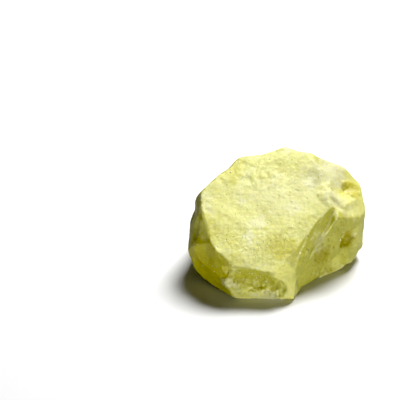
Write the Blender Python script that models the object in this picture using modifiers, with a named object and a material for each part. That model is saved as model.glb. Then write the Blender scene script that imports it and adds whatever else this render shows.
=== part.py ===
"""A lump of native sulfur, broken out of a massive vein, as one solid that rests on a flat break.

The frame is metres with +Z up. The origin is the middle of the lump's footprint, on the surface that it
rests on. +X runs along the lump's length, and -Y is the side that shows the broad fracture face.
"""

from dataclasses import dataclass
import math
import random

import bmesh
import bpy
from mathutils import Matrix, Vector, noise

MM = 0.001

# The whole lump. MIDDLE is the point that every flat break is measured from.
MIDDLE = Vector((0.0, 0.0, 15.0)) * MM
ROUGH_BLOCK_SIDE = 90 * MM
SEAT_HEIGHT = 0.4 * MM

# How finely the broken surface is made. The mesh has 2 to the power of MESH_DEPTH cells along the lump.
MESH_DEPTH = 7
WORN_EDGE_PASSES = 2
TRIANGLES = 7600


def facing(compass, rise):
    """The unit vector of a compass direction and a rise, both in degrees."""
    turn, lift = math.radians(compass), math.radians(rise)
    return Vector((math.cos(turn) * math.cos(lift), math.sin(turn) * math.cos(lift), math.sin(lift)))


@dataclass(frozen=True)
class Fracture:
    """A flat break. compass and rise are the way it faces, in degrees, and reach its distance in mm."""

    name: str
    compass: float
    rise: float
    reach: float

    def normal(self):
        return facing(self.compass, self.rise)


@dataclass(frozen=True)
class Scoop:
    """A shell-shaped break: its deepest point, the way it runs, the way it faces and its half sizes.

    Places and sizes are in mm. The half sizes are along the run, across it, and in depth.
    """

    name: str
    deepest: tuple
    run: tuple
    compass: float
    rise: float
    half_sizes: tuple


@dataclass(frozen=True)
class Notch:
    """A notch with flat faces that meet in its deepest point, in mm. ways are the ways that they face."""

    name: str
    deepest: tuple
    ways: tuple


@dataclass(frozen=True)
class Waves:
    """Uneven ground on a break: the length and height of its waves in mm."""

    name: str
    length: float
    height: float


BODY_BREAKS = (
    Fracture("broad_face", -90, 52, 9.3),
    Fracture("broad_face_crown", -95, 58, 11.0),
    Fracture("broad_face_foot", -84, 44, 10.0),
    Fracture("right_front_wall", -45, 0, 14.0),
    Fracture("wall_undercut", -45, -12, 15.7),
    Fracture("wall_bevel", -62, 21, 12.7),
    Fracture("front", -92, -4, 18.9),
    Fracture("left_front", -134, -6, 22.7),
    Fracture("left_bevel", -150, 20, 22.6),
    Fracture("left_side", -170, 17, 23.9),
    Fracture("left_back", 160, 5, 23.3),
    Fracture("left_undercut", -176, -38, 26.6),
    Fracture("back_left", 142, 27, 20.2),
    Fracture("back_top", 101, 30, 18.7),
    Fracture("back_right_top", 77, 30, 18.5),
    Fracture("back", 90, -5, 21.0),
    Fracture("right_shoulder", -36, 51, 15.6),
    Fracture("right_facet", -37, 38, 16.5),
    Fracture("right_chamfer", 10, 42, 24.0),
    Fracture("right_end", 5, 3, 25.0),
    Fracture("right_undercut", 10, -40, 26.5),
    Fracture("base", 0, -90, 15.0),
)

SHOULDER_BREAKS = (
    Fracture("shoulder_end", 3, 3, 25.0),
    Fracture("shoulder_corner", -27, -4, 21.0),
    Fracture("shoulder_front", -52, -2, 14.8),
    Fracture("shoulder_top", -36, 51, 15.2),
    Fracture("shoulder_facet", -37, 38, 16.5),
    Fracture("shoulder_back", 80, 10, 12.0),
    Fracture("shoulder_inner", -135, 43, -1.2),
    Fracture("shoulder_left", 180, 0, -4.0),
    Fracture("shoulder_undercut", 10, -40, 26.5),
    Fracture("shoulder_base", 0, -90, 12.0),
)

TOE_BREAKS = (
    Fracture("toe_bevel", -62, 21, 12.6),
    Fracture("toe_right", -24, 5, 9.6),
    Fracture("toe_front", -92, -4, 18.8),
    Fracture("toe_left", 180, 0, 4.0),
    Fracture("toe_back", 90, 0, -13.5),
    Fracture("toe_top", -84, 44, 9.7),
    Fracture("toe_base", 0, -90, 15.0),
)

FOOT_BREAKS = (
    Fracture("foot_ledge", -57, 45, -1.1),
    Fracture("foot_front", -54, 0, 13.1),
    Fracture("foot_right", -31, 0, 17.6),
    Fracture("foot_left", 180, 0, -12.5),
    Fracture("foot_back", 135, 0, -9.0),
    Fracture("foot_top", 0, 90, -11.0),
    Fracture("foot_end", 60, 0, 12.4),
    Fracture("foot_base", 0, -90, 15.0),
)

SCOOPS = (
    Scoop("shoulder_hollow", (20.5, 4.9, 22.8), (0.9, 0.3, -0.2), -30, 54, (7.5, 5.0, 9.0)),
    Scoop("shoulder_valley", (16.6, -2.4, 21.9), (0.69, -0.05, -0.72), -60, 42, (9.0, 2.6, 4.5)),
    Scoop("wall_hollow_high", (19.4, -1.9, 11.7), (0.39, 0.84, 0.50), -45, -8, (4.6, 1.8, 2.4)),
    Scoop("wall_hollow_low", (15.2, -2.7, 4.2), (0.70, 0.70, 0.20), -45, -6, (3.9, 3.2, 3.2)),
    Scoop("front_hollow", (-7.0, -14.9, 6.0), (1.0, 0.0, -0.12), -92, -6, (9.6, 5.2, 3.9)),
    Scoop("broad_face_chip", (2.2, -16.6, 12.2), (0.85, 0.35, 0.40), -76, 46, (8.0, 4.2, 9.0)),
    Scoop("back_shell", (-9.0, 17.2, 21.0), (0.70, 0.30, 0.65), 108, 28, (13.0, 9.0, 8.0)),
    Scoop("back_chip", (12.0, 20.2, 7.0), (1.0, 0.0, 0.2), 80, -12, (8.5, 5.5, 5.0)),
    Scoop("left_shell", (-23.4, 7.0, 14.0), (0.2, 0.9, -0.3), 172, 8, (8.0, 6.0, 5.0)),
)

NOTCHES = (
    Notch("right_underside", (22.6, 2.2, 3.6), ((0, -77), (-25, -8))),
)

# Small flat chips on the edges and corners that face away from the broad face. CHIPS is how many blows
# are tried, all round the lump; those nearer to the broad face's side than CHIP_LIMIT are left out.
CHIPS = 60
CHIP_DEPTHS = (0.4, 1.6)
CHIP_SEED = 11
CHIPPED_AWAY_FROM = facing(-90, 35)
CHIP_LIMIT = -0.10

WAVES = (
    Waves("swell", 15.0, 0.60),
    Waves("dimples", 6.0, 0.18),
    Waves("knobs", 2.8, 0.15),
)
SCALLOP_LENGTH = 9.0
SCALLOP_HEIGHT = 0.55
SCALLOP_WARP_LENGTH = 11.0
SCALLOP_WARP = 0.5
# Far-off places where the three parts of a shift are read from the noise, so that they differ.
WARP_PLACES = (Vector((31.4, 0.0, 7.3)), Vector((0.0, 27.1, 3.9)), Vector((5.7, 0.0, 19.7)))
SHARE_ON_BROAD_FACE = 0.25

# Hackles are the small steps that run up the wall, nearly parallel to its upper edge.
HACKLE_RUN = Vector((0.48, 0.48, 0.74)).normalized()
HACKLE_ACROSS = Vector((-0.52, -0.52, 0.68)).normalized()
HACKLE_SPACING = 3.6
HACKLE_HEIGHT = 0.4
HACKLE_STRETCH = 3.5
HACKLED_BREAKS = ("right_front_wall", "shoulder_front")


def clear_scene():
    """Removes the startup objects."""
    for obj in list(bpy.data.objects):
        bpy.data.objects.remove(obj, do_unlink=True)


def new_collection(name):
    """A collection linked to the scene."""
    collection = bpy.data.collections.new(name)
    bpy.context.scene.collection.children.link(collection)
    return collection


def new_object(name, bm, collection):
    """An object made from a bmesh, which is freed."""
    mesh = bpy.data.meshes.new(name)
    bm.to_mesh(mesh)
    bm.free()
    obj = bpy.data.objects.new(name, mesh)
    collection.objects.link(obj)
    return obj


def as_guide(obj):
    """Keeps a cutter or a block that has been joined out of the part."""
    obj.hide_render = True
    obj.display_type = "WIRE"
    return obj


def break_off(bm, point, normal):
    """Takes away what lies past a plane and closes the cut with a face."""
    geometry = bm.verts[:] + bm.edges[:] + bm.faces[:]
    cut = bmesh.ops.bisect_plane(bm, geom=geometry, plane_co=point, plane_no=normal, clear_outer=True)
    rim = [piece for piece in cut["geom_cut"] if isinstance(piece, bmesh.types.BMEdge)]
    bmesh.ops.edgenet_fill(bm, edges=rim)


def chip_edges(bm):
    """Knocks small flat chips off the edges and corners that face away from the broad face."""
    chance = random.Random(CHIP_SEED)
    for _ in range(CHIPS):
        way = facing(chance.uniform(-180, 180), math.degrees(math.asin(chance.uniform(-1, 1))))
        depth = chance.uniform(*CHIP_DEPTHS) * MM
        if way.dot(CHIPPED_AWAY_FROM) < CHIP_LIMIT:
            farthest = max((vertex.co for vertex in bm.verts), key=way.dot)
            break_off(bm, farthest - way * depth, way)


def broken_block(name, breaks, collection, chipped=False):
    """A block with everything past each of its flat breaks taken off."""
    bm = bmesh.new()
    bmesh.ops.create_cube(bm, size=ROUGH_BLOCK_SIDE, matrix=Matrix.Translation(MIDDLE))
    for fracture in breaks:
        normal = fracture.normal()
        break_off(bm, MIDDLE + normal * fracture.reach * MM, normal)
    if chipped:
        chip_edges(bm)
    bmesh.ops.recalc_face_normals(bm, faces=bm.faces[:])
    return new_object(name, bm, collection)


def scoop_cutter(scoop, collection):
    """The ellipsoid that a shell-shaped break takes away."""
    outward = facing(scoop.compass, scoop.rise)
    across = outward.cross(Vector(scoop.run)).normalized()
    along = across.cross(outward)
    turn = Matrix((along, across, outward)).transposed().to_4x4()
    size = Matrix.Diagonal((*[half * MM for half in scoop.half_sizes], 1.0))
    centre = (Vector(scoop.deepest) + outward * scoop.half_sizes[2]) * MM
    bm = bmesh.new()
    bmesh.ops.create_uvsphere(bm, u_segments=48, v_segments=28, radius=1.0)
    bmesh.ops.transform(bm, matrix=Matrix.Translation(centre) @ turn @ size, verts=bm.verts[:])
    return as_guide(new_object(scoop.name, bm, collection))


def notch_cutter(notch, collection):
    """The block that a notch takes away, with its corner in the notch's deepest point."""
    bm = bmesh.new()
    bmesh.ops.create_cube(bm, size=ROUGH_BLOCK_SIDE, matrix=Matrix.Translation(Vector(notch.deepest) * MM))
    for way in notch.ways:
        break_off(bm, Vector(notch.deepest) * MM, -facing(*way))
    bmesh.ops.recalc_face_normals(bm, faces=bm.faces[:])
    return as_guide(new_object(notch.name, bm, collection))


def add_boolean(block, other, operation):
    """Joins the other object to the block, or cuts it away."""
    boolean = block.modifiers.new(other.name, "BOOLEAN")
    boolean.operation = operation
    boolean.solver = "EXACT"
    boolean.object = other


def wear_edges(block):
    """Meshes the block evenly and softens its edges a little."""
    even = block.modifiers.new("even_mesh", "REMESH")
    even.mode = "SHARP"
    even.octree_depth = MESH_DEPTH
    worn = block.modifiers.new("worn_edges", "SMOOTH")
    worn.iterations = WORN_EDGE_PASSES


def apply_modifiers(obj):
    """Replaces the object's mesh by what its modifiers make of it."""
    bpy.context.view_layer.update()
    graph = bpy.context.evaluated_depsgraph_get()
    mesh = bpy.data.meshes.new_from_object(obj.evaluated_get(graph))
    obj.modifiers.clear()
    obj.data = mesh


def part_touching_edges(mesh):
    """Opens the mesh where it touches itself along an edge, and closes each side with a face of its own."""
    bm = bmesh.new()
    bm.from_mesh(mesh)
    touching = {vertex for edge in bm.edges if not edge.is_manifold for vertex in edge.verts}
    bmesh.ops.delete(bm, geom=list(touching), context="VERTS")
    bmesh.ops.delete(bm, geom=[edge for edge in bm.edges if edge.is_wire], context="EDGES")
    holes = [edge for edge in bm.edges if edge.is_boundary]
    closed = bmesh.ops.holes_fill(bm, edges=holes, sides=0)
    bmesh.ops.triangulate(bm, faces=closed["faces"])
    bm.to_mesh(mesh)
    bm.free()


def smoothstep(low, high, value):
    """0 below low, 1 above high and a smooth slope between them."""
    share = min(1.0, max(0.0, (value - low) / (high - low)))
    return share * share * (3.0 - 2.0 * share)


def hackle(at):
    """The height in mm of the wall's small steps at a point in mm. Each rises slowly and drops sharply."""
    along = at.dot(HACKLE_RUN)
    drawn_out = at - HACKLE_RUN * along * (1.0 - 1.0 / HACKLE_STRETCH)
    wander = noise.noise(drawn_out / 7.0) * 1.5 + noise.noise(at / 3.0) * 0.25
    share = (at.dot(HACKLE_ACROSS) / HACKLE_SPACING + wander) % 1.0
    drop = smoothstep(0.75, 1.0, share)
    strength = smoothstep(-0.35, 0.45, noise.noise(at / 8.0 + Vector((5.0, 0.0, 0.0))))
    return (share - drop) * HACKLE_HEIGHT * strength


def scallop(at):
    """The height in mm of shallow shell-shaped dips with sharp crests between them, at a point in mm."""
    wide = at / SCALLOP_WARP_LENGTH
    shift = Vector([noise.noise(wide + place) for place in WARP_PLACES]) * SCALLOP_WARP
    return (1.0 - 2.5 * abs(noise.noise(at / SCALLOP_LENGTH + shift))) * SCALLOP_HEIGHT


def roughen(mesh):
    """Moves each point along its normal by the waves and steps of an uneven break. The base stays flat."""
    hackled = [f.normal() for f in BODY_BREAKS + SHOULDER_BREAKS if f.name in HACKLED_BREAKS]
    broad = next(f.normal() for f in BODY_BREAKS if f.name == "broad_face")
    normals = [vertex.normal.copy() for vertex in mesh.vertices]
    for vertex, normal in zip(mesh.vertices, normals):
        at = vertex.co / MM
        height = sum(noise.noise(at / w.length + Vector((w.length, 0, 0))) * w.height for w in WAVES)
        height += scallop(at)
        height *= 1.0 - (1.0 - SHARE_ON_BROAD_FACE) * smoothstep(0.85, 0.98, normal.dot(broad))
        towards_hackles = max(normal.dot(way) for way in hackled)
        height += hackle(at) * smoothstep(0.75, 0.92, towards_hackles)
        clear_of_base = smoothstep(0.3, 2.5, at.z)
        vertex.co += normal * height * clear_of_base * MM


def thin_out(obj):
    """Keeps about TRIANGLES triangles, most of them where the surface bends."""
    obj.data.calc_loop_triangles()
    thinned = obj.modifiers.new("thinned", "DECIMATE")
    thinned.ratio = TRIANGLES / len(obj.data.loop_triangles)
    apply_modifiers(obj)


def seat(obj):
    """Cuts the base off flat, and puts the origin under the middle of the lump, on that base."""
    bm = bmesh.new()
    bm.from_mesh(obj.data)
    break_off(bm, Vector((0.0, 0.0, SEAT_HEIGHT)), Vector((0.0, 0.0, -1.0)))
    xs = [vertex.co.x for vertex in bm.verts]
    ys = [vertex.co.y for vertex in bm.verts]
    middle = Vector(((min(xs) + max(xs)) / 2, (min(ys) + max(ys)) / 2, SEAT_HEIGHT))
    bmesh.ops.translate(bm, vec=-middle, verts=bm.verts[:])
    bmesh.ops.recalc_face_normals(bm, faces=bm.faces[:])
    bm.to_mesh(obj.data)
    bm.free()


def sulfur_material():
    """Pale lemon yellow with the waxy shine of a fresh break."""
    material = bpy.data.materials.new("native_sulfur")
    material.use_nodes = True
    surface = material.node_tree.nodes["Principled BSDF"]
    surface.inputs["Base Color"].default_value = (0.78, 0.74, 0.27, 1.0)
    surface.inputs["Roughness"].default_value = 0.55
    surface.inputs["Metallic"].default_value = 0.0
    return material


def main():
    clear_scene()
    parts = new_collection("native_sulfur_lump")
    guides = new_collection("guides")
    lump = broken_block("sulfur_lump", BODY_BREAKS, parts, chipped=True)
    for name, breaks in (("shoulder", SHOULDER_BREAKS), ("toe", TOE_BREAKS), ("foot", FOOT_BREAKS)):
        add_boolean(lump, as_guide(broken_block(name, breaks, guides)), "UNION")
    for scoop in SCOOPS:
        add_boolean(lump, scoop_cutter(scoop, guides), "DIFFERENCE")
    for notch in NOTCHES:
        add_boolean(lump, notch_cutter(notch, guides), "DIFFERENCE")
    wear_edges(lump)
    apply_modifiers(lump)
    part_touching_edges(lump.data)
    roughen(lump.data)
    thin_out(lump)
    seat(lump)
    lump.data.materials.append(sulfur_material())


if __name__ == "__main__":
    main()
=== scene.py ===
"""Dresses a lump of native sulfur and lays it on white paper under soft studio light.

The lump is massive sulfur: fine grains grown together, broken out of a vein and never polished. Its broad
fracture face is sugary and pale, its side walls are smoother, deeper yellow and streaked by small steps, and
its edges are crumbled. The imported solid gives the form. Relief finer than that solid's faces is made here, as
geometry, and loose crystal grains sit half sunk in the surface.
"""

from __future__ import annotations

import logging
import math
from collections.abc import Mapping, Sequence
from dataclasses import dataclass, field
from enum import Enum
from typing import Any
import bmesh
import bpy
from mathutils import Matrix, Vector


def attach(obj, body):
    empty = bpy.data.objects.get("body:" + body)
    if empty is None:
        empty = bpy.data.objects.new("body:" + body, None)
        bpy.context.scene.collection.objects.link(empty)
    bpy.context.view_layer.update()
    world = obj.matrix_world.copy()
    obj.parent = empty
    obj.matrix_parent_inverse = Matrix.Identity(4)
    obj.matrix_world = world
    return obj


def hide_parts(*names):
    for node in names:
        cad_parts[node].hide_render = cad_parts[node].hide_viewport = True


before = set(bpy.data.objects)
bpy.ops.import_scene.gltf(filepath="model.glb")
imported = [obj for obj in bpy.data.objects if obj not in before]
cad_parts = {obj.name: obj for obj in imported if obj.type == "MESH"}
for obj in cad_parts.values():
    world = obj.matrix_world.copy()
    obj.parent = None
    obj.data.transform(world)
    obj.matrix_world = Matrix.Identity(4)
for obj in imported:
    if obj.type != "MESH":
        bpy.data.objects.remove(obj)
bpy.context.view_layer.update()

LOG = logging.getLogger("native_sulfur")
MM = 0.001
BODY = "root"
LUMP_NODE = "sulfur_lump"

MATH = "ShaderNodeMath"
VECTOR_MATH = "ShaderNodeVectorMath"
MAP_RANGE = "ShaderNodeMapRange"
MIX = "ShaderNodeMix"
NOISE = "ShaderNodeTexNoise"
VORONOI = "ShaderNodeTexVoronoi"
ATTRIBUTE = "ShaderNodeAttribute"

# Shares of a zone's and a patch's half size at which it ends and where it is full.
ZONE_FADE = (1.05, 0.25)
PATCH_FADE = (1.25, 0.45)
# How relief is shaped, as shares of the length of one wave, grain or pit.
UNEVEN = {"Detail": 2.5, "Roughness": 0.55}
CREASE_WIDTH = 0.12
CREASE_FLOOR, CREASE_SHOULDER = -1.0, 0.25
FACET_TILT = 2.4
PIT_EDGE = (0.42, 0.10)
PIT_CHOICE = (0.50, 0.60)
# Takes a colour or a noise from the range of 0 to 1 to the range about 0.
CENTRED = (-0.5, -0.5, -0.5)

Point = tuple[float, float, float]
Span = tuple[float, float]
Socket = bpy.types.NodeSocket
Tree = bpy.types.NodeTree


def linear(hex_colour: str) -> tuple[float, float, float, float]:
    """Turns an sRGB hex colour into the linear colour that a shader takes.

    Args:
        hex_colour: Six hex digits after a number sign, such as "#EAE89B".

    Returns:
        Linear red, green, blue and an alpha of 1.
    """
    channels = [int(hex_colour[i : i + 2], 16) / 255 for i in (1, 3, 5)]
    bent = [c / 12.92 if c <= 0.04045 else ((c + 0.055) / 1.055) ** 2.4 for c in channels]
    return (*bent, 1.0)


def facing(compass: float, rise: float) -> Vector:
    """The unit vector of a compass direction and a rise, both in degrees."""
    turn, lift = math.radians(compass), math.radians(rise)
    return Vector((math.cos(turn) * math.cos(lift), math.sin(turn) * math.cos(lift), math.sin(lift)))


def named(sockets: Any, key: Any) -> Socket:
    """Finds a socket by its index, its identifier or its name."""
    by_identifier = {socket.identifier: socket for socket in sockets}
    return by_identifier[key] if key in by_identifier else sockets[key]


def add(tree: Tree, kind: str, values: Mapping[Any, Any] | Sequence[Any] = (), pick: Any = 0, **settings: Any) -> Any:
    """Adds one node with its settings, values and links.

    Args:
        tree: The node tree that gets the node.
        kind: The node's type name.
        values: What goes into each input, by index, name or identifier: a value, or a socket to link.
        pick: The output to return, by index or name.
        **settings: The node's own properties.

    Returns:
        The picked output socket, or the node itself where it has no output.
    """
    node = tree.nodes.new(kind)
    for name, setting in settings.items():
        setattr(node, name, setting)
    pairs = values.items() if isinstance(values, Mapping) else enumerate(values)
    for key, value in pairs:
        socket = named(node.inputs, key)
        if isinstance(value, Socket):
            tree.links.new(value, socket)
        else:
            socket.default_value = value
    return named(node.outputs, pick) if len(node.outputs) else node


class Pattern(Enum):
    """The ways in which a layer of relief rises and falls."""

    WAVES = "soft uneven ground"
    FACETS = "flat grain faces, each tilted its own way"
    CREASES = "thin folds with sharp bottoms"
    PITS = "small scattered holes"
    RISE = "the whole zone pushed out or in"


class Tint(Enum):
    """What changes the colour of a patch of the surface: real powder and clear grains, and painted light and shade.
    The value is the name of its attribute.
    """

    # Whitish powder, and painted light on the front lip and the shoulder's facet and valley.
    BLOOM = "bloom_and_painted_light"
    # Clear yellow grains, and painted yellow bounce light in the shoulder's hollow and on the left edge.
    YELLOW = "clear_yellow_and_painted_bounce"
    # Grey: painted shade on the shoulder and in its valley, and a grey streak on the wall.
    DULL = "dull_grey"
    # Painted light.
    PAINTED_LIGHT = "painted_light"
    # Painted shade in hollows.
    PAINTED_HOLLOW_SHADE = "painted_hollow_shade"


@dataclass(frozen=True)
class Zone:
    """A part of the surface, found by the way that it faces, by a spot that it is near, or both.

    Attributes:
        name: The zone's name, also the name of the attribute that carries it to the material.
        compass: The compass direction that the zone faces, in degrees.
        rise: How far up the zone faces, in degrees.
        cone: The angles from that direction, in degrees, where the zone ends and where it is full.
        spot: The middle of the zone in mm, if it has one.
        half_sizes: How far the zone reaches from its spot along X, Y and Z in mm.
    """

    name: str
    compass: float = 0.0
    rise: float = 0.0
    cone: Span | None = None
    spot: Point | None = None
    half_sizes: Point = (1.0, 1.0, 1.0)

    def mask(self, tree: Tree, place: Socket, normal: Socket) -> Socket:
        """Builds the field that is 1 inside the zone and 0 outside it.

        Args:
            tree: The Geometry Nodes tree.
            place: The field of points in mm, shifted unevenly, which makes the zone's edge ragged.
            normal: The field of normals.

        Returns:
            The field of the zone.
        """
        mask = add(tree, "ShaderNodeValue")
        mask.default_value = 1.0
        if self.cone:
            way = facing(self.compass, self.rise)
            towards = add(tree, VECTOR_MATH, (normal, way), "Value", operation="DOT_PRODUCT")
            ends, full = (math.cos(math.radians(angle)) for angle in self.cone)
            mask = add(tree, MAP_RANGE, (towards, ends, full, 0.0, 1.0), interpolation_type="SMOOTHSTEP")
        if self.spot:
            offset = add(tree, VECTOR_MATH, (place, self.spot), operation="SUBTRACT")
            scaled = add(tree, VECTOR_MATH, (offset, self.half_sizes), operation="DIVIDE")
            away = add(tree, VECTOR_MATH, (scaled,), "Value", operation="LENGTH")
            near = add(tree, MAP_RANGE, (away, *ZONE_FADE, 0.0, 1.0), interpolation_type="SMOOTHSTEP")
            mask = add(tree, MATH, (mask, near), operation="MULTIPLY")
        return mask


@dataclass(frozen=True)
class Layer:
    """One layer of relief.

    Attributes:
        name: The layer's name, which its inputs in the tree begin with.
        pattern: How it rises and falls.
        zone: The name of the zone that it covers, or "all".
        length: The size of one wave, grain or pit in mm.
        height: How high or deep it is in mm.
        run: The direction that it is drawn out along, if it is.
        stretch: How many times longer it is along its run.
    """

    name: str
    pattern: Pattern
    zone: str
    length: float
    height: float
    run: Point | None = None
    stretch: float = 1.0

    def field(self, tree: Tree, place: Socket, length: Socket, height: Socket) -> Socket:
        """Builds the layer's height in mm.

        Args:
            tree: The Geometry Nodes tree.
            place: The field of points in mm.
            length: The size of one wave, grain or pit in mm.
            height: How high or deep the layer is in mm.

        Returns:
            The field of heights.
        """
        if self.run:
            run = Vector(self.run).normalized()
            along = add(tree, VECTOR_MATH, (place, run), "Value", operation="DOT_PRODUCT")
            shift = add(tree, MATH, (along, 1.0 / self.stretch - 1.0), operation="MULTIPLY")
            pulled = add(tree, VECTOR_MATH, {0: run, "Scale": shift}, operation="SCALE")
            place = add(tree, VECTOR_MATH, (place, pulled), operation="ADD")
        per_mm = add(tree, MATH, (1.0, length), operation="DIVIDE")
        if self.pattern in (Pattern.WAVES, Pattern.CREASES):
            noise = add(tree, NOISE, {"Vector": place, "Scale": per_mm, **UNEVEN})
            swing = add(tree, MATH, (noise, -0.5), operation="ADD")
            if self.pattern is Pattern.WAVES:
                shape = add(tree, MATH, (swing, 2.0), operation="MULTIPLY")
            else:
                size = add(tree, MATH, (swing,), operation="ABSOLUTE")
                fold = (size, 0.0, CREASE_WIDTH, CREASE_FLOOR, CREASE_SHOULDER)
                shape = add(tree, MAP_RANGE, fold, interpolation_type="SMOOTHSTEP")
        elif self.pattern is Pattern.RISE:
            shape = add(tree, "ShaderNodeValue")
            shape.default_value = 1.0
        elif self.pattern is Pattern.FACETS:
            middle = add(tree, VORONOI, {"Vector": place, "Scale": per_mm}, "Position")
            lot = add(tree, VORONOI, {"Vector": place, "Scale": per_mm}, "Color")
            tilt = add(tree, VECTOR_MATH, (lot, CENTRED), operation="ADD")
            offset = add(tree, VECTOR_MATH, (place, middle), operation="SUBTRACT")
            slope = add(tree, VECTOR_MATH, (offset, tilt), "Value", operation="DOT_PRODUCT")
            steepness = add(tree, MATH, (per_mm, FACET_TILT), operation="MULTIPLY")
            shape = add(tree, MATH, (slope, steepness), operation="MULTIPLY")
        else:
            cell = add(tree, VORONOI, {"Vector": place, "Scale": per_mm}, "Distance")
            pit = add(tree, MAP_RANGE, (cell, *PIT_EDGE, 0.0, 1.0), interpolation_type="SMOOTHSTEP")
            lot = add(tree, NOISE, {"Vector": place, "Scale": per_mm, "Detail": 0.0})
            chosen = add(tree, MAP_RANGE, (lot, *PIT_CHOICE, 0.0, -1.0))
            shape = add(tree, MATH, (pit, chosen), operation="MULTIPLY")
        return add(tree, MATH, (shape, height), operation="MULTIPLY")


@dataclass(frozen=True)
class Patch:
    """A patch of another colour, with a ragged edge.

    Attributes:
        tint: What changes its colour.
        spot: Its middle in mm.
        half_sizes: How far it reaches along X, Y and Z in mm.
        share: How strong it is, from 0 to 1.
    """

    tint: Tint
    spot: Point
    half_sizes: Point
    share: float

    def mask(self, tree: Tree, ragged: Socket) -> Socket:
        """Builds the field that is the patch's share inside it and 0 outside.

        Args:
            tree: The Geometry Nodes tree.
            ragged: The field of points in mm, shifted unevenly.

        Returns:
            The field of the patch.
        """
        offset = add(tree, VECTOR_MATH, (ragged, self.spot), operation="SUBTRACT")
        scaled = add(tree, VECTOR_MATH, (offset, self.half_sizes), operation="DIVIDE")
        away = add(tree, VECTOR_MATH, (scaled,), "Value", operation="LENGTH")
        return add(tree, MAP_RANGE, (away, *PATCH_FADE, 0.0, self.share), interpolation_type="SMOOTHSTEP")


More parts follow.
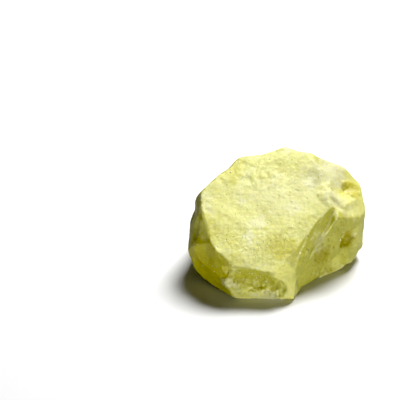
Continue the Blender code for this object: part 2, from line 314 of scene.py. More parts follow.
@dataclass(frozen=True)
class MassiveSulfur:
    """Massive native sulfur, as broken: fine grains that scatter light, pale where the break crushed them.

    Fresh sulfur is a deep lemon yellow that lets light in for a millimetre or two. A break leaves crushed
    grains on the face that took the blow, which pale it, and shows the fresh deeper colour on the walls.
    The colours also carry painted light on the face that looks up and painted shade on the walls.

    Attributes:
        bruised_with_painted_light: The pale sugary face, partly painted light, as it looks up.
        bloom_and_painted_light: Whitish crushed powder, and painted light on the front lip and on the shoulder's
            facet and valley.
        yellow: Grains that the break left clear, and painted bounce light, yellow, in the shoulder's hollow and on
            the left edge.
        dull: Grey: painted shade on the shoulder and in its valley, and a grey streak on the wall.
        pale: Painted light on small faces and ledges that look toward the lamps.
        clean_with_painted_shade: The wall of fresh sulfur, with painted shade that makes it darker and deeper yellow.
        shaded: Painted shade on the side that faces away, darker and deeper yellow than the other walls.
        deep: Painted shade at the bottom of hollows and cracks.
        rim: Painted light on thin crumbled edges, for the light that shines through them.
        cloud_size: The size of the powdery clouds in mm.
        fleck_size: The size of the clear flecks in mm.
        grain_size: The size of a single grain in mm, which in the real lump is 0.3 to 0.6 mm.
        grain_height: The height of the finest roughness in mm.
        scatter_depth: How far light travels inside, in mm.
        scatter_tint: How far red, green and blue travel against each other. Blue goes least, which keeps
            the shaded side deep yellow.
    """

    bruised_with_painted_light: str = "#E8E79A"
    bloom_and_painted_light: str = "#F1EFC6"
    yellow: str = "#D7D26A"
    dull: str = "#C9C692"
    pale: str = "#E9E78A"
    clean_with_painted_shade: str = "#C1BF5B"
    shaded: str = "#C4BC46"
    deep: str = "#AEA437"
    rim: str = "#F0EDA6"
    cloud_size: float = 7.0
    fleck_size: float = 1.5
    grain_size: float = 0.45
    grain_height: float = 0.12
    scatter_depth: float = 0.9
    scatter_tint: Point = (1.0, 0.85, 0.22)

    def build(self) -> bpy.types.Material:
        """Builds the material.

        Returns:
            The material, with its colour patterns in Object coordinates and the lump's own attributes.
        """
        material = bpy.data.materials.new("native_sulfur_massive_broken")
        material.use_nodes = True
        tree = material.node_tree
        tree.nodes.clear()
        place = add(tree, "ShaderNodeTexCoord", pick="Object")

        def carried(name: str) -> Socket:
            """A field that the lump's points carry."""
            return add(tree, ATTRIBUTE, pick="Fac", attribute_name=name)

        def per_mm(size: float) -> float:
            """The scale of a pattern whose features are that many mm wide."""
            return 1.0 / (size * MM)

        def blend(share: Socket, under: Any, over: Any) -> Socket:
            """Lays one colour over another."""
            values = {"Factor_Float": share, "A_Color": under, "B_Color": over}
            return add(tree, MIX, values, "Result_Color", data_type="RGBA")

        def soft(value: Socket, low: float, high: float, least: float, most: float) -> Socket:
            """A smooth ramp between two values."""
            return add(tree, MAP_RANGE, (value, low, high, least, most), interpolation_type="SMOOTHSTEP")

        def times(one: Socket, other: Any) -> Socket:
            """One value times another."""
            return add(tree, MATH, (one, other), operation="MULTIPLY")

        cloudy = {"Vector": place, "Scale": per_mm(self.cloud_size), "Detail": 4.0, "Roughness": 0.62}
        clouds = add(tree, NOISE, cloudy)
        flecked = {"Vector": place, "Scale": per_mm(self.fleck_size), "Detail": 5.0, "Roughness": 0.7}
        flecks = add(tree, NOISE, flecked)
        grains = add(tree, VORONOI, {"Vector": place, "Scale": per_mm(self.grain_size)}, "Color")
        grain_tone = add(tree, "ShaderNodeSeparateColor", (grains,))
        # The break crushed the broad face wholly and the shoulder about half, with an uneven edge. The same
        # mask also gives these upward faces painted light.
        face = add(tree, MATH, (carried("broad_face"), times(carried("shoulder"), 0.45)), operation="MAXIMUM")
        bruise_with_painted_light = add(tree, MATH, (face, soft(clouds, 0.3, 0.7, -0.10, 0.10)), operation="ADD", use_clamp=True)
        # The walls are fresh sulfur with painted shade, darkest on the left side, which faces away, and they have
        # clear flecks.
        wall = blend(carried("left_side"), linear(self.clean_with_painted_shade), linear(self.shaded))
        wall = blend(soft(flecks, 0.45, 0.70, 0.0, 0.45), wall, linear(self.yellow))
        # The crushed face has clouds of powder, with clear sulfur and flecks of it between them.
        colour = blend(bruise_with_painted_light, wall, linear(self.bruised_with_painted_light))
        colour = blend(times(soft(clouds, 0.54, 0.68, 0.0, 0.55), bruise_with_painted_light), colour, linear(self.bloom_and_painted_light))
        colour = blend(times(soft(clouds, 0.46, 0.34, 0.0, 0.50), bruise_with_painted_light), colour, linear(self.yellow))
        colour = blend(times(soft(flecks, 0.55, 0.72, 0.0, 0.40), bruise_with_painted_light), colour, linear(self.yellow))
        tints = {
            Tint.YELLOW: self.yellow,
            Tint.DULL: self.dull,
            Tint.PAINTED_LIGHT: self.pale,
            Tint.PAINTED_HOLLOW_SHADE: self.deep,
            Tint.BLOOM: self.bloom_and_painted_light,
        }
        # Lays each tint's patches over the colour, painted light and shade among them.
        for tint, over in tints.items():
            colour = blend(carried(tint.value), colour, linear(over))
        # Painted shade makes hollows darker and deeper yellow, painted light makes crumbled edges paler, and each
        # grain has a tone of its own.
        colour = blend(soft(carried("hollow"), 0.0, 1.0, 0.0, 0.32), colour, linear(self.deep))
        colour = blend(soft(carried("rim"), 0.0, 1.0, 0.0, 0.55), colour, linear(self.rim))
        tone = add(tree, MAP_RANGE, (grain_tone, 0.0, 1.0, 0.93, 1.04))
        colour = add(tree, VECTOR_MATH, {0: colour, "Scale": tone}, operation="SCALE")
        # The walls are a little waxier than the sugary face.
        rough = soft(bruise_with_painted_light, 0.0, 1.0, 0.50, 0.64)
        sugary = {"Vector": place, "Scale": per_mm(self.grain_size), "Detail": 3.0, "Roughness": 0.6}
        fine = add(tree, NOISE, sugary)
        strength = soft(bruise_with_painted_light, 0.0, 1.0, 0.30, 0.28)
        raised = {"Height": fine, "Strength": strength, "Distance": self.grain_height * MM}
        bump = add(tree, "ShaderNodeBump", raised)
        surface = add(
            tree,
            "ShaderNodeBsdfPrincipled",
            {
                "Base Color": colour,
                "Roughness": rough,
                "Normal": bump,
                "IOR": 1.55,
                "Subsurface Weight": 0.5,
                "Subsurface Radius": self.scatter_tint,
                "Subsurface Scale": self.scatter_depth * MM,
            },
        )
        add(tree, "ShaderNodeOutputMaterial", {"Surface": surface})
        return material


@dataclass(frozen=True)
class CrystalGrain:
    """Single crystals of sulfur: clear lemon yellow with flat shiny faces.

    A whole crystal has faces that the break didn't dull, and sulfur bends light strongly, so a grain that
    faces a light glints white.

    Attributes:
        colour: The grain's own colour.
        pale: The colour of the palest grains.
        tone_size: How far apart the tones are, in mm.
        scatter_depth: How far light travels inside, in mm.
        scatter_tint: How far red, green and blue travel against each other.
    """

    colour: str = "#EFE98A"
    pale: str = "#F8F6C8"
    tone_size: float = 1.2
    scatter_depth: float = 0.6
    scatter_tint: Point = (1.0, 0.85, 0.25)

    def build(self) -> bpy.types.Material:
        """Builds the material.

        Returns:
            The material, with a tone of its own for each grain or so.
        """
        material = bpy.data.materials.new("native_sulfur_crystal_grain")
        material.use_nodes = True
        tree = material.node_tree
        tree.nodes.clear()
        place = add(tree, "ShaderNodeTexCoord", pick="Object")
        tones = add(tree, NOISE, {"Vector": place, "Scale": 1.0 / (self.tone_size * MM), "Detail": 1.0})
        share = add(tree, MAP_RANGE, (tones, 0.35, 0.65, 0.0, 1.0))
        values = {"Factor_Float": share, "A_Color": linear(self.colour), "B_Color": linear(self.pale)}
        colour = add(tree, MIX, values, "Result_Color", data_type="RGBA")
        surface = add(
            tree,
            "ShaderNodeBsdfPrincipled",
            {
                "Base Color": colour,
                "Roughness": 0.22,
                "IOR": 1.95,
                "Subsurface Weight": 0.4,
                "Subsurface Radius": self.scatter_tint,
                "Subsurface Scale": self.scatter_depth * MM,
            },
        )
        add(tree, "ShaderNodeOutputMaterial", {"Surface": surface})
        return material


@dataclass(frozen=True)
class WhitePaper:
    """Matt white background paper, uncoated, which gives an even white with no gloss.

    Attributes:
        colour: What the camera sees.
        bounced: The darker paper that only bounced light sees: painted shade, so that the paper lights the lump's
            sides less.
    """

    colour: str = "#F4F4F4"
    bounced: str = "#B8B8B8"

    def build(self) -> bpy.types.Material:
        """Builds the material.

        Returns:
            The material, one tone where it is seen and a darker one for the light that it throws back.
        """
        material = bpy.data.materials.new("white_paper_matt")
        material.use_nodes = True
        tree = material.node_tree
        tree.nodes.clear()
        # The camera sees the white paper and bounced light the darker one, which is painted shade for the lump's
        # sides.
        seen = add(tree, "ShaderNodeLightPath", pick="Is Camera Ray")
        values = {"Factor_Float": seen, "A_Color": linear(self.bounced), "B_Color": linear(self.colour)}
        colour = add(tree, MIX, values, "Result_Color", data_type="RGBA")
        surface = add(tree, "ShaderNodeBsdfDiffuse", {"Color": colour})
        add(tree, "ShaderNodeOutputMaterial", {"Surface": surface})
        return material


ZONES = (
    Zone("broad_face", -90, 52, (38, 16)),
    Zone("shoulder", -40, 48, (36, 14), (17.0, 3.5, 24.0), (13.0, 13.0, 13.0)),
    Zone("wall", -50, -2, (62, 34), (13.0, -8.0, 11.0), (17.0, 17.0, 17.0)),
    Zone("left_side", -140, 0, (64, 36), (-20.0, -12.0, 8.0), (14.0, 14.0, 16.0)),
    Zone("crinkled_top", -90, 54, (34, 16), (-4.0, 2.5, 29.5), (13.0, 9.0, 9.0)),
    Zone("sparkling_foot", -86, 48, (36, 16), (-5.0, -14.0, 15.5), (19.0, 9.0, 9.0)),
    Zone("front_hollow", spot=(-6.0, -17.5, 6.0), half_sizes=(12.0, 6.0, 6.5)),
    Zone("hollow_floor", spot=(-6.5, -17.6, 6.4), half_sizes=(8.5, 6.0, 3.6)),
    Zone("pit", spot=(-13.4, -18.4, 9.2), half_sizes=(3.4, 3.4, 2.2)),
    Zone("crest", spot=(-14.2, -17.0, 5.2), half_sizes=(3.8, 3.0, 1.8)),
    Zone("lip", spot=(-4.6, -18.4, 2.4), half_sizes=(9.0, 4.0, 1.7)),
    Zone("shoulder_dip", spot=(20.3, 4.5, 22.3), half_sizes=(4.0, 3.6, 3.6)),
    Zone("shoulder_valley", spot=(14.2, -3.0, 24.4), half_sizes=(4.0, 4.0, 4.0)),
    Zone("high_hollow", spot=(18.6, -4.4, 10.6), half_sizes=(4.4, 4.4, 5.6)),
    Zone("low_hollow", spot=(12.6, -9.8, 8.4), half_sizes=(5.4, 5.4, 6.0)),
)

LAYERS = (
    Layer("swell", Pattern.WAVES, "all", 5.5, 0.22),
    Layer("knobs", Pattern.WAVES, "all", 1.8, 0.07),
    Layer("grit", Pattern.FACETS, "all", 1.2, 0.035),
    Layer("crinkle", Pattern.CREASES, "crinkled_top", 3.0, 0.15, (0.42, 0.71, 0.56), 2.6),
    Layer("sugar", Pattern.FACETS, "broad_face", 0.9, 0.025),
    Layer("chips", Pattern.FACETS, "broad_face", 3.6, 0.03),
    Layer("face_pits", Pattern.PITS, "broad_face", 2.2, 0.06),
    Layer("coarse_sugar", Pattern.FACETS, "sparkling_foot", 1.2, 0.06),
    Layer("floor_depth", Pattern.RISE, "hollow_floor", 1.0, -0.6),
    Layer("hollow_lumps", Pattern.FACETS, "front_hollow", 2.2, 0.32),
    Layer("hollow_grit", Pattern.FACETS, "front_hollow", 0.8, 0.10),
    Layer("hollow_pits", Pattern.PITS, "front_hollow", 1.3, 0.40),
    Layer("pit_depth", Pattern.RISE, "pit", 1.0, -2.2),
    Layer("pit_grit", Pattern.FACETS, "pit", 0.9, 0.35),
    Layer("crest_height", Pattern.RISE, "crest", 1.0, 0.80),
    Layer("lip_height", Pattern.RISE, "lip", 1.0, 1.10),
    Layer("dip_fill", Pattern.RISE, "shoulder_dip", 1.0, 0.60),
    Layer("valley_fill", Pattern.RISE, "shoulder_valley", 1.0, 0.35),
    Layer("high_hollow_depth", Pattern.RISE, "high_hollow", 1.0, -0.30),
    Layer("low_hollow_depth", Pattern.RISE, "low_hollow", 1.0, -0.45),
    Layer("wall_streaks", Pattern.WAVES, "wall", 1.6, 0.20, (0.48, 0.48, 0.74), 4.5),
    Layer("wall_pits", Pattern.PITS, "wall", 1.7, 0.50),
)

PATCHES = (
    Patch(Tint.BLOOM, (-6.2, -9.5, 20.0), (2.8, 2.4, 2.4), 0.6),
    Patch(Tint.BLOOM, (7.8, -0.3, 27.3), (4.4, 1.6, 1.6), 0.7),
    Patch(Tint.BLOOM, (-9.1, -13.7, 16.8), (1.8, 1.8, 1.8), 0.45),
    Patch(Tint.BLOOM, (-20.2, -6.8, 22.3), (1.6, 2.6, 2.6), 0.5),
    Patch(Tint.BLOOM, (-20.6, -3.4, 24.8), (2.2, 2.0, 2.0), 0.4),
    Patch(Tint.BLOOM, (15.0, 5.5, 27.8), (7.0, 5.0, 4.0), 0.25),
    # Painted shade, grey, on the shoulder's top.
    Patch(Tint.DULL, (14.0, 4.5, 28.0), (9.0, 7.0, 5.0), 0.9),
    # The front lip: painted light, whitish and pale.
    Patch(Tint.BLOOM, (-3.6, -19.0, 1.2), (4.0, 3.0, 1.8), 0.7),
    Patch(Tint.PAINTED_LIGHT, (-4.6, -18.4, 1.8), (10.0, 5.0, 3.0), 1.0),
    Patch(Tint.BLOOM, (1.0, -2.0, 25.0), (12.0, 8.0, 8.0), 0.30),
    Patch(Tint.BLOOM, (-14.2, -17.0, 4.6), (4.0, 3.0, 1.6), 0.5),
    # The shoulder's facet: painted light, pale and whitish.
    Patch(Tint.PAINTED_LIGHT, (21.8, -0.8, 20.0), (4.6, 4.6, 4.0), 0.5),
    Patch(Tint.BLOOM, (21.6, -1.4, 19.4), (4.0, 4.0, 3.4), 0.2),
    # Painted light, pale, on a low facet of the wall, the toe and the right end of the front band.
    Patch(Tint.PAINTED_LIGHT, (16.9, -3.2, 4.0), (3.4, 3.4, 3.4), 0.6),
    Patch(Tint.PAINTED_LIGHT, (3.2, -19.0, 3.4), (3.8, 3.8, 5.0), 1.0),
    Patch(Tint.PAINTED_LIGHT, (0.4, -20.0, 8.0), (3.8, 3.8, 4.8), 1.0),
    # Painted light, whitish, in the shoulder's valley.
    Patch(Tint.BLOOM, (15.0, -3.0, 23.4), (4.0, 3.4, 3.4), 0.3),
    # Painted shade in the wall's two hollows and in a hollow by the foot.
    Patch(Tint.PAINTED_HOLLOW_SHADE, (19.4, -3.4, 11.4), (2.6, 2.6, 4.2), 0.8),
    Patch(Tint.PAINTED_HOLLOW_SHADE, (12.4, -10.2, 9.0), (3.0, 3.0, 4.0), 0.7),
    Patch(Tint.PAINTED_HOLLOW_SHADE, (14.8, -6.0, 3.4), (1.8, 1.8, 2.4), 0.7),
    # Painted shade, grey, in the shoulder's valley and by its facet, and a grey streak on the wall.
    Patch(Tint.DULL, (15.4, -2.9, 23.6), (4.0, 3.6, 3.4), 0.7),
    Patch(Tint.DULL, (18.6, -3.4, 20.6), (3.0, 3.0, 3.0), 0.6),
    Patch(Tint.DULL, (11.3, -10.3, 14.6), (2.2, 4.0, 5.0), 0.4),
    Patch(Tint.YELLOW, (1.2, -15.2, 14.8), (6.0, 3.2, 3.2), 0.9),
    # The shoulder's shallow hollow: painted bounce light, yellow, and painted shade.
    Patch(Tint.YELLOW, (20.3, 4.5, 22.3), (5.4, 4.4, 3.6), 1.0),
    Patch(Tint.PAINTED_HOLLOW_SHADE, (20.3, 4.5, 22.3), (5.0, 4.0, 3.4), 0.6),
    # Painted light, pale, on two ledges of the wall.
    Patch(Tint.PAINTED_LIGHT, (23.2, -2.0, 11.0), (2.2, 4.0, 5.0), 0.35),
    Patch(Tint.PAINTED_LIGHT, (16.0, -5.0, 1.6), (3.6, 3.0, 1.8), 0.9),
    Patch(Tint.YELLOW, (13.6, 1.3, 27.4), (2.0, 1.8, 1.8), 0.7),
    # The left edge: painted light and painted bounce light, golden.
    Patch(Tint.PAINTED_LIGHT, (-20.9, -8.6, 19.8), (2.0, 5.0, 4.6), 0.8),
    Patch(Tint.YELLOW, (-20.8, -10.0, 18.8), (2.6, 6.0, 5.0), 0.8),
    Patch(Tint.YELLOW, (-13.0, 1.5, 28.6), (3.6, 2.6, 2.6), 0.6),
)


@dataclass
class BrokenLump:
    """The lump itself, with its relief.

    Attributes:
        mesh_size: The length of the mesh's edges in mm.
        base_clear: Heights above the base, in mm, between which the relief fades in, so that it rests flat.
        crumble: How deep the edges are crumbled in mm.
        chunks_per_mm: How many crumbled chunks an edge has along a mm.
        tuck: How far the foot is drawn in round the base, and up to what height, in mm.
        tuck_curve: How sharply the foot curves in, as a power.
        foot_radius: How far the foot's edge is from its middle, about, in mm.
        wander: How many uneven shifts a mm has, and how far they reach in mm, along the edges of zones.
        edge_bend: The bend in mm where an edge begins to crumble, and where it crumbles fully.
        rim_bend: The bend in mm where the rim's painted light begins, and where it is full.
        hollow_bend: The bend in mm where a hollow's painted shade begins, and where it is full.
        edge_rings: How many rings of points the bend of an edge is measured over.
        form_rings: How many rings of points the bend of a rim or a hollow is measured over.
        zones: The parts of the surface.
        layers: The layers of relief.
        patches: The patches of another colour.
        sizes: The value of each input of the relief's tree, by identifier.
    """

    mesh_size: float = 0.296
    base_clear: Span = (0.25, 2.0)
    crumble: float = 0.55
    chunks_per_mm: float = 0.7
    tuck: Span = (0.9, 1.1)
    tuck_curve: float = 1.5
    foot_radius: float = 20.0
    wander: Span = (0.45, 7.0)
    edge_bend: Span = (-0.06, -0.28)
    rim_bend: Span = (-0.22, -0.60)
    hollow_bend: Span = (0.08, 0.45)
    edge_rings: int = 10
    form_rings: int = 30
    zones: tuple[Zone, ...] = ZONES
    layers: tuple[Layer, ...] = LAYERS
    patches: tuple[Patch, ...] = PATCHES
    sizes: dict[str, float] = field(default_factory=dict)

    def even_copy(self, node: bpy.types.Object) -> bpy.types.Object:
        """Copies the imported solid, merges its loose triangles and sets it to be meshed evenly.

        Args:
            node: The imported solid.

        Returns:
            A new object whose modifier makes a fine, closed mesh.
        """
        bm = bmesh.new()
        bm.from_mesh(node.data)
        bmesh.ops.remove_doubles(bm, verts=bm.verts[:], dist=0.001 * MM)
        mesh = bpy.data.meshes.new("sulfur_lump_surface")
        bm.to_mesh(mesh)
        bm.free()
        lump = bpy.data.objects.new("sulfur_lump_surface", mesh)
        bpy.context.scene.collection.objects.link(lump)
        even = lump.modifiers.new("even_mesh", "REMESH")
        even.mode = "VOXEL"
        even.voxel_size = self.mesh_size * MM
        even.use_smooth_shade = True
        return lump

    def size_input(self, tree: Tree, name: str, value: float) -> Socket:
        """Adds a named size to the tree's inputs and notes its value for the modifier.

        Args:
            tree: The Geometry Nodes tree.
            name: The input's name.
            value: The size.

        Returns:
            The socket that gives the size inside the tree.
        """
        made = tree.interface.new_socket(name=name, in_out="INPUT", socket_type="NodeSocketFloat")
        made.default_value = value
        self.sizes[made.identifier] = value
        inputs = next(node for node in tree.nodes if node.type == "GROUP_INPUT")
        return next(socket for socket in inputs.outputs if socket.identifier == made.identifier)

    def bend(self, tree: Tree, rings: int) -> Socket:
        """Measures how the surface bends, from how far each point lies off the average of those around it.

        Args:
            tree: The Geometry Nodes tree.
            rings: How many rings of points the average takes in.

        Returns:
            The offset in mm, above 0 in a hollow and below 0 on an edge.
        """
        place = add(tree, "GeometryNodeInputPosition")
        normal = add(tree, "GeometryNodeInputNormal")
        values = {"Value": place, "Iterations": rings}
        around = add(tree, "GeometryNodeBlurAttribute", values, data_type="FLOAT_VECTOR")
        off = add(tree, VECTOR_MATH, (around, place), operation="SUBTRACT")
        height = add(tree, VECTOR_MATH, (off, normal), "Value", operation="DOT_PRODUCT")
        return add(tree, MATH, (height, 1.0 / MM), operation="MULTIPLY")

    def tuck_in(self, tree: Tree) -> Socket:
        """Builds the move that draws the foot in towards the lump's middle, so that shade shows under its edge.

        Args:
            tree: The Geometry Nodes tree.

        Returns:
            The field of moves in metres.
        """
        depth = self.size_input(tree, "tuck depth", self.tuck[0])
        top = self.size_input(tree, "tuck height", self.tuck[1])
        position = add(tree, "GeometryNodeInputPosition")
        above = add(tree, "ShaderNodeSeparateXYZ", (position,), "Z")
        outward = add(tree, VECTOR_MATH, (position, (1.0, 1.0, 0.0)), operation="MULTIPLY")
        height = add(tree, MATH, (above, 1.0 / MM), operation="MULTIPLY")
        low = add(tree, MAP_RANGE, {"Value": height, 1: 0.0, 2: top, 3: 1.0, 4: 0.0})
        curved = add(tree, MATH, (low, self.tuck_curve), operation="POWER")
        share = add(tree, MATH, (depth, -1.0 / self.foot_radius), operation="MULTIPLY")
        reach = add(tree, MATH, (curved, share), operation="MULTIPLY")
        return add(tree, VECTOR_MATH, {0: outward, "Scale": reach}, operation="SCALE")

    def relief_tree(self, material: bpy.types.Material) -> Tree:
        """Builds the Geometry Nodes tree that lays the relief on the lump.

        Args:
            material: The lump's material.

        Returns:
            The tree, whose inputs are the length and height of each layer, the crumble and the foot's sizes.
        """
        tree = bpy.data.node_groups.new("sulfur_relief", "GeometryNodeTree")
        tree.interface.new_socket(name="Lump", in_out="INPUT", socket_type="NodeSocketGeometry")
        tree.interface.new_socket(name="Lump", in_out="OUTPUT", socket_type="NodeSocketGeometry")
        geometry = add(tree, "NodeGroupInput")
        position = add(tree, "GeometryNodeInputPosition")
        normal = add(tree, "GeometryNodeInputNormal")
        place = add(tree, VECTOR_MATH, {0: position, "Scale": 1.0 / MM}, operation="SCALE")

        def carry(name: str, value: Socket) -> None:
            """Stores a field on the lump's points under a name."""
            nonlocal geometry
            values = {"Geometry": geometry, "Name": name, "Value": value}
            geometry = add(tree, "GeometryNodeStoreNamedAttribute", values, data_type="FLOAT", domain="POINT")

        def carried(name: str) -> Socket:
            """Reads a field that was stored on the lump's points."""
            return add(tree, "GeometryNodeInputNamedAttribute", {"Name": name}, data_type="FLOAT")

        shifts_per_mm, reach = self.wander
        uneven = add(tree, NOISE, {"Vector": place, "Scale": shifts_per_mm, "Detail": 3.0}, "Color")
        shift = add(tree, VECTOR_MATH, (uneven, CENTRED), operation="ADD")
        pushed = add(tree, VECTOR_MATH, {0: shift, "Scale": reach}, operation="SCALE")
        ragged = add(tree, VECTOR_MATH, (place, pushed), operation="ADD")
        for zone in self.zones:
            carry(zone.name, zone.mask(tree, ragged, normal))
        for tint in Tint:
            whole_tint: Any = 0.0
            for patch in self.patches:
                if patch.tint is tint:
                    whole_tint = add(tree, MATH, (whole_tint, patch.mask(tree, ragged)), operation="MAXIMUM")
            carry(tint.value, whole_tint)
        sharp = self.bend(tree, self.edge_rings)
        carry("edge", add(tree, MAP_RANGE, (sharp, *self.edge_bend, 0.0, 1.0)))
        total: Any = 0.0
        for layer in self.layers:
            length = self.size_input(tree, f"{layer.name} length", layer.length)
            height = self.size_input(tree, f"{layer.name} height", layer.height)
            part = layer.field(tree, place, length, height)
            if layer.zone != "all":
                part = add(tree, MATH, (part, carried(layer.zone)), operation="MULTIPLY")
            total = add(tree, MATH, (total, part), operation="ADD")
        depth = self.size_input(tree, "crumble depth", self.crumble)
        chunks = add(tree, VORONOI, {"Vector": place, "Scale": self.chunks_per_mm}, "Distance")
        bitten = add(tree, MAP_RANGE, (chunks, 0.35, 0.75, 0.15, 1.0))
        bite = add(tree, MATH, (bitten, depth), operation="MULTIPLY")
        bite = add(tree, MATH, (bite, carried("edge")), operation="MULTIPLY")
        total = add(tree, MATH, (total, bite), operation="SUBTRACT")
        above = add(tree, "ShaderNodeSeparateXYZ", (place,), "Z")
        clear = add(tree, MAP_RANGE, (above, *self.base_clear, 0.0, 1.0), interpolation_type="SMOOTHSTEP")
        total = add(tree, MATH, (total, clear), operation="MULTIPLY")
        metres = add(tree, MATH, (total, MM), operation="MULTIPLY")
        offset = add(tree, VECTOR_MATH, {0: normal, "Scale": metres}, operation="SCALE")
        geometry = add(tree, "GeometryNodeSetPosition", {"Geometry": geometry, "Offset": offset})
        geometry = add(tree, "GeometryNodeSetPosition", {"Geometry": geometry, "Offset": self.tuck_in(tree)})
        wide = self.bend(tree, self.form_rings)
        carry("rim", add(tree, MAP_RANGE, (wide, *self.rim_bend, 0.0, 1.0)))
        carry("hollow", add(tree, MAP_RANGE, (wide, *self.hollow_bend, 0.0, 1.0)))
        whole = add(tree, "GeometryNodeRealizeInstances", (geometry,))
        dressed = add(tree, "GeometryNodeSetMaterial", {"Geometry": whole, "Material": material})
        add(tree, "NodeGroupOutput", (dressed,))
        return tree

    def build(self, node: bpy.types.Object, material: bpy.types.Material) -> bpy.types.Object:
        """Builds the lump's surface as a plain mesh.

        Args:
            node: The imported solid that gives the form.
            material: The lump's material.

        Returns:
            The finished object, at the origin.
        """
        lump = self.even_copy(node)
        relief = lump.modifiers.new("relief", "NODES")
        relief.node_group = self.relief_tree(material)
        for identifier, value in self.sizes.items():
            relief[identifier] = value
        return made_plain(lump)


@dataclass
class CrystalGrains:
    """Crystal grains that sit half sunk in the broken surface and catch the light.

    Attributes:
        size: The smallest and largest grain, across, in mm.
        per_mm2: How many grains a square mm has where they lie thickest.
        shares: How thick they lie in each zone, as a share of that.
        elsewhere: How thick they lie on the rest, as a share of that.
        proportions: The least and the most of a grain's three sides, as shares of its size.
        small_ones: The power that makes most grains small.
        seed: The seed of their places and turns.
        shape_seed: The seed of their proportions.
        size_seed: The seed of their sizes.
        lowest: How far they stay above the base in mm.
    """

    size: Span = (0.20, 0.50)
    per_mm2: float = 1.3
    shares: tuple[tuple[str, float], ...] = (("broad_face", 0.14), ("sparkling_foot", 0.9), ("front_hollow", 0.5))
    elsewhere: float = 0.04
    proportions: tuple[Point, Point] = ((0.55, 0.55, 0.75), (1.0, 1.0, 1.3))
    small_ones: float = 2.2
    seed: int = 7
    shape_seed: int = 3
    size_seed: int = 5
    lowest: float = 1.2

    def scatter_tree(self, material: bpy.types.Material) -> tuple[Tree, dict[str, Any]]:
        """Builds the Geometry Nodes tree that scatters the grains.

        Args:
            material: The grains' material.

        Returns:
            The tree, and the value of each of its inputs by identifier.
        """
        tree = bpy.data.node_groups.new("sulfur_grain_scatter", "GeometryNodeTree")
        tree.interface.new_socket(name="Lump", in_out="INPUT", socket_type="NodeSocketGeometry")
        tree.interface.new_socket(name="Grains", in_out="OUTPUT", socket_type="NodeSocketGeometry")
        asked = {
            "Smallest grain": ("NodeSocketFloat", self.size[0] * MM),
            "Largest grain": ("NodeSocketFloat", self.size[1] * MM),
            "Grains per square metre": ("NodeSocketFloat", self.per_mm2 / (MM * MM)),
            "Seed": ("NodeSocketInt", self.seed),
        }
        values: dict[str, Any] = {}
        for name, (kind, value) in asked.items():
            made = tree.interface.new_socket(name=name, in_out="INPUT", socket_type=kind)
            values[made.identifier] = value
        lump = add(tree, "NodeGroupInput")
        smallest, largest, density, seed = lump.node.outputs[1:5]

        parts: list[Any] = []
        for name, share in self.shares:
            mask = add(tree, "GeometryNodeInputNamedAttribute", {"Name": name}, data_type="FLOAT")
            parts.append(add(tree, MATH, (mask, share), operation="MULTIPLY"))
        thick = parts[0]
        for part in (*parts[1:], self.elsewhere):
            thick = add(tree, MATH, (thick, part), operation="ADD")
        height = add(tree, "ShaderNodeSeparateXYZ", (add(tree, "GeometryNodeInputPosition"),), "Z")
        clear = add(tree, MATH, (height, self.lowest * MM), operation="GREATER_THAN")
        thick = add(tree, MATH, (thick, clear), operation="MULTIPLY")
        thick = add(tree, MATH, (thick, density), operation="MULTIPLY")
        strewn = {"Mesh": lump, "Density": thick, "Seed": seed}
        points = add(tree, "GeometryNodeDistributePointsOnFaces", strewn, "Points")
        crystal = add(tree, "GeometryNodeMeshIcoSphere", {"Radius": 0.5, "Subdivisions": 1}, "Mesh")
        turn_values = {"Min": (0.0, 0.0, 0.0), "Max": (math.tau, math.tau, math.tau), "Seed": seed}
        turn = add(tree, "FunctionNodeRandomValue", turn_values, data_type="FLOAT_VECTOR")
        sides = {"Min": self.proportions[0], "Max": self.proportions[1], "Seed": self.shape_seed}
        shape = add(tree, "FunctionNodeRandomValue", sides, data_type="FLOAT_VECTOR")
        lot_values = {"Min_001": 0.0, "Max_001": 1.0, "Seed": self.size_seed}
        lot = add(tree, "FunctionNodeRandomValue", lot_values, "Value_001", data_type="FLOAT")
        mostly_small = add(tree, MATH, (lot, self.small_ones), operation="POWER")
        across = add(tree, MAP_RANGE, (mostly_small, 0.0, 1.0, smallest, largest))
        scale = add(tree, VECTOR_MATH, {0: shape, "Scale": across}, operation="SCALE")
        placed = {"Points": points, "Instance": crystal, "Rotation": turn, "Scale": scale}
        grains = add(tree, "GeometryNodeInstanceOnPoints", placed)
        whole = add(tree, "GeometryNodeRealizeInstances", (grains,))
        flat = add(tree, "GeometryNodeSetShadeSmooth", {"Geometry": whole, "Shade Smooth": False})
        dressed = add(tree, "GeometryNodeSetMaterial", {"Geometry": flat, "Material": material})
        add(tree, "NodeGroupOutput", (dressed,))
        return tree, values

    def build(self, lump: bpy.types.Object, material: bpy.types.Material) -> bpy.types.Object:
        """Scatters the grains over the finished lump.

        Args:
            lump: The finished lump.
            material: The grains' material.

        Returns:
            All the grains as one plain mesh, at the origin.
        """
        grains = bpy.data.objects.new("sulfur_crystal_grains", lump.data.copy())
        bpy.context.scene.collection.objects.link(grains)
        scatter = grains.modifiers.new("scatter", "NODES")
        scatter.node_group, values = self.scatter_tree(material)
        for identifier, value in values.items():
            scatter[identifier] = value
        return made_plain(grains)


def made_plain(obj: bpy.types.Object) -> bpy.types.Object:
    """Turns what an object's modifiers make into its own plain mesh, and removes the modifiers.

    Args:
        obj: The object to finish.

    Returns:
        The same object.
    """
    bpy.context.view_layer.update()
    graph = bpy.context.evaluated_depsgraph_get()
    mesh = bpy.data.meshes.new_from_object(obj.evaluated_get(graph), depsgraph=graph)
    obj.modifiers.clear()
    obj.data = mesh
    obj.data.calc_loop_triangles()
    LOG.info("%s: %d triangles", obj.name, len(obj.data.loop_triangles))
    return obj


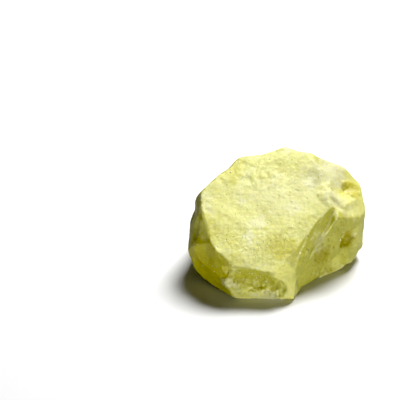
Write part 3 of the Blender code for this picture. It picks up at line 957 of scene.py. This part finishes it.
@dataclass(frozen=True)
class SoftBox:
    """A square soft light that points at the lump.

    Attributes:
        name: The light's name.
        place: Where it hangs, in mm.
        side: The length of its side in mm.
        power: Its power in watts.
    """

    name: str
    place: Point
    side: float
    power: float

    def build(self, target: Vector) -> None:
        """Hangs the light and turns it to a point.

        Args:
            target: The point that it faces, in metres.
        """
        light = bpy.data.lights.new(self.name, "AREA")
        light.size = self.side * MM
        light.energy = self.power
        holder = bpy.data.objects.new(self.name, light)
        bpy.context.scene.collection.objects.link(holder)
        holder.location = Vector(self.place) * MM
        holder.rotation_euler = (target - holder.location).to_track_quat("-Z", "Y").to_euler()


@dataclass(frozen=True)
class Studio:
    """White paper, soft lights, the camera and the tones of the print.

    Attributes:
        view_width: The width of the view at the lump, in mm.
        view_middle: The point in the middle of the view, in mm. The lump lies right of it and below it.
        elevation: How far the camera looks down, in degrees.
        lens: The camera's focal length in mm.
        sensor: The width of its sensor in mm.
        paper_side: The side of the paper in mm.
        sky: The brightness of the room.
        lights: The soft boxes.
        darkest: The light that prints as black.
        brightest: The light that prints as white.
    """

    view_width: float = 117.5
    view_middle: Point = (-22.34, 8.58, 16.65)
    elevation: float = 30.0
    lens: float = 100.0
    sensor: float = 36.0
    paper_side: float = 4000.0
    sky: float = 0.01
    lights: tuple[SoftBox, ...] = (
        SoftBox("overhead_soft_box", (130.0, 200.0, 440.0), 200.0, 3.95),
        SoftBox("front_fill", (85.0, -490.0, 45.0), 80.0, 1.25),
    )
    darkest: float = 0.045
    brightest: float = 1.0

    def build(self, paper: bpy.types.Material) -> None:
        """Builds the floor, the lights and the camera.

        Args:
            paper: The floor's material.
        """
        self.lay_paper(paper)
        self.light_room()
        self.set_camera()
        self.set_print()

    def lay_paper(self, paper: bpy.types.Material) -> None:
        """Lays the paper flat under the lump.

        Args:
            paper: Its material.
        """
        half = self.paper_side * MM / 2
        corners = [(-half, -half, 0), (half, -half, 0), (half, half, 0), (-half, half, 0)]
        mesh = bpy.data.meshes.new("paper_floor")
        mesh.from_pydata(corners, [], [(0, 1, 2, 3)])
        mesh.materials.append(paper)
        floor = bpy.data.objects.new("paper_floor", mesh)
        bpy.context.scene.collection.objects.link(floor)

    def light_room(self) -> None:
        """Hangs the soft boxes in a dim white room."""
        world = bpy.data.worlds.new("white_room")
        world.use_nodes = True
        background = world.node_tree.nodes["Background"]
        background.inputs["Color"].default_value = (1.0, 1.0, 1.0, 1.0)
        background.inputs["Strength"].default_value = self.sky
        bpy.context.scene.world = world
        for light in self.lights:
            light.build(Vector((0.0, 0.0, 0.0)))

    def set_camera(self) -> None:
        """Sets the camera in front of the lump, looking down at it."""
        tilt = math.radians(self.elevation)
        forward = Vector((0.0, math.cos(tilt), -math.sin(tilt)))
        lens = bpy.data.cameras.new("camera")
        lens.lens = self.lens
        lens.sensor_width = self.sensor
        lens.clip_start = 10 * MM
        camera = bpy.data.objects.new("camera", lens)
        bpy.context.scene.collection.objects.link(camera)
        away = self.view_width * self.lens / self.sensor * MM
        camera.location = Vector(self.view_middle) * MM - forward * away
        camera.rotation_euler = forward.to_track_quat("-Z", "Y").to_euler()
        bpy.context.scene.camera = camera

    def set_print(self) -> None:
        """Sets which light prints as black and which as white."""
        print_settings = bpy.context.scene.view_settings
        print_settings.view_transform = "Standard"
        print_settings.use_curve_mapping = True
        print_settings.curve_mapping.black_level = (self.darkest,) * 3
        print_settings.curve_mapping.white_level = (self.brightest,) * 3
        print_settings.curve_mapping.update()


def main() -> None:
    """Builds the lump, its grains and the studio, in that order."""
    logging.basicConfig(level=logging.INFO, format="%(name)s: %(message)s")
    lump = BrokenLump().build(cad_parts[LUMP_NODE], MassiveSulfur().build())
    grains = CrystalGrains().build(lump, CrystalGrain().build())
    for piece in (lump, grains):
        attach(piece, BODY)
    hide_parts(LUMP_NODE)
    Studio().build(WhitePaper().build())


if __name__ == "__main__":
    main()
